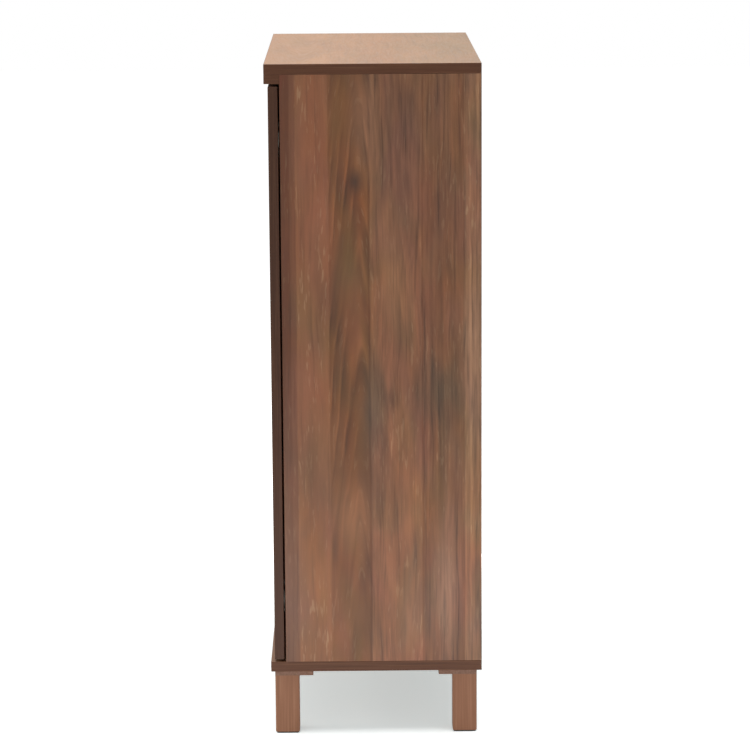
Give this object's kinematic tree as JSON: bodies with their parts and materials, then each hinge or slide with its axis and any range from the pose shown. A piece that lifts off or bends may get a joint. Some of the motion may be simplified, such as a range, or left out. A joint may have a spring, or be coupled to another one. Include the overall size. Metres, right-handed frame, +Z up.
{
  "type": "shoe cabinet",
  "caption": "Tall free-standing shoe cabinet: side-hung doors over shelves, between an overhanging top with a thick front edge and a bottom panel on square corner legs.",
  "frame": {"origin": "on the floor under the middle of the cabinet's width and depth", "axes": "+X to the right as seen from the front, +Y from the front to the back, +Z up"},
  "size_m": [0.63, 0.33, 1.052],
  "materials": {
    "walnut_laminate": "satin walnut-pattern laminate on board",
    "stained_leg_wood": "stained and lacquered solid wood",
    "back_board": "thin printed hardboard",
    "beech": "bare beech",
    "nickel_plated_steel": "nickel plated",
    "zinc_plated_steel": "zinc plated",
    "zinc_alloy": "die-cast zinc alloy",
    "dark_plastic": "matt dark plastic",
    "brown_plastic": "matt brown plastic",
    "magnet": "ferrite magnet"
  },
  "bodies": {
    "carcass": {"back_panel": "back_board", "bottom_panel": "walnut_laminate", "cam_bolts": "zinc_plated_steel", "cam_locks": "zinc_alloy", "catch_housing": "brown_plastic", "catch_magnets": "magnet", "catch_screws": "zinc_plated_steel", "fixed_shelf": "walnut_laminate", "front_left_glide": "dark_plastic", "front_left_leg": "stained_leg_wood", "front_left_leg_plate": "stained_leg_wood", "front_right_glide": "dark_plastic", "front_right_leg": "stained_leg_wood", "front_right_leg_plate": "stained_leg_wood", "hinge_arm_screws": "zinc_plated_steel", "hinge_plate_screws": "zinc_plated_steel", "left_lower_hinge_arm": "nickel_plated_steel", "left_lower_hinge_plate": "nickel_plated_steel", "left_side_panel": "walnut_laminate", "left_upper_hinge_arm": "nickel_plated_steel", "left_upper_hinge_plate": "nickel_plated_steel", "leg_plate_screws": "zinc_plated_steel", "leg_screws": "zinc_plated_steel", "loose_shelf_1": "walnut_laminate", "loose_shelf_2": "walnut_laminate", "loose_shelf_3": "walnut_laminate", "loose_shelf_4": "walnut_laminate", "rear_left_glide": "dark_plastic", "rear_left_leg": "stained_leg_wood", "rear_left_leg_plate": "stained_leg_wood", "rear_right_glide": "dark_plastic", "rear_right_leg": "stained_leg_wood", "rear_right_leg_plate": "stained_leg_wood", "right_lower_hinge_arm": "nickel_plated_steel", "right_lower_hinge_plate": "nickel_plated_steel", "right_side_panel": "walnut_laminate", "right_upper_hinge_arm": "nickel_plated_steel", "right_upper_hinge_plate": "nickel_plated_steel", "shelf_pins": "zinc_plated_steel", "top_front_strip": "walnut_laminate", "top_panel": "walnut_laminate", "wood_dowels": "beech"},
    "left_door_leaf": {"left_cup_screws": "zinc_plated_steel", "left_door": "walnut_laminate", "left_hinge_pins": "zinc_plated_steel", "left_lower_hinge_cup": "nickel_plated_steel", "left_strike_plate": "nickel_plated_steel", "left_strike_screw": "zinc_plated_steel", "left_upper_hinge_cup": "nickel_plated_steel"},
    "right_door_leaf": {"right_cup_screws": "zinc_plated_steel", "right_door": "walnut_laminate", "right_hinge_pins": "zinc_plated_steel", "right_lower_hinge_cup": "nickel_plated_steel", "right_strike_plate": "nickel_plated_steel", "right_strike_screw": "zinc_plated_steel", "right_upper_hinge_cup": "nickel_plated_steel"}
  },
  "joints": [
    {"name": "left_door_swing", "type": "hinge", "parent": "carcass", "child": "left_door_leaf", "pos_m": [-0.3073, -0.152, 0.57], "axis": [0, 0, -1], "range_deg": [0, 95]},
    {"name": "right_door_swing", "type": "hinge", "parent": "carcass", "child": "right_door_leaf", "pos_m": [0.3073, -0.152, 0.57], "axis": [0, 0, 1], "range_deg": [0, 95]}
  ]
}
